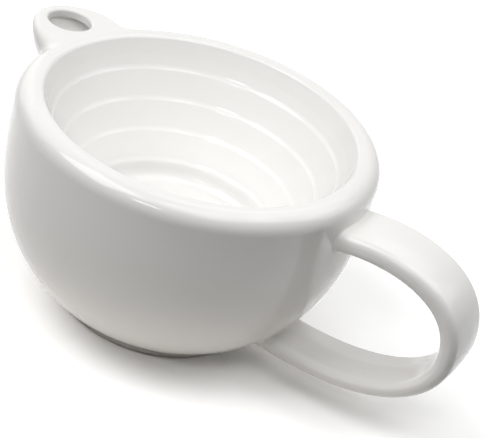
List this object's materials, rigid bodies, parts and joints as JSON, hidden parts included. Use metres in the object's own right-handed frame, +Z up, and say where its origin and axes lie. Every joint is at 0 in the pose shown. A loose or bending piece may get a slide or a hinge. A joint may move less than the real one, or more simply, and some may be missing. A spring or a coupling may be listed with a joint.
{
  "type": "shaving scuttle",
  "caption": "Double-walled round scuttle for shaving lather, with a ridged bowl, a filling spout level with the rim and a strap handle.",
  "frame": {"origin": "on the table, under the middle of the whole outline; the pot's own axis is 15.3 mm along -X from it", "axes": "+Z up, +X towards the handle"},
  "size_m": [0.176, 0.116, 0.071],
  "materials": {
    "glaze": "gloss",
    "foot_clay": "unglazed, matt"
  },
  "bodies": {
    "root": {"foot_ring": "foot_clay", "outer_shell": "glaze", "inner_bowl": "glaze", "rim_ring": "glaze", "spout": "glaze", "handle": "glaze"}
  },
  "joints": []
}
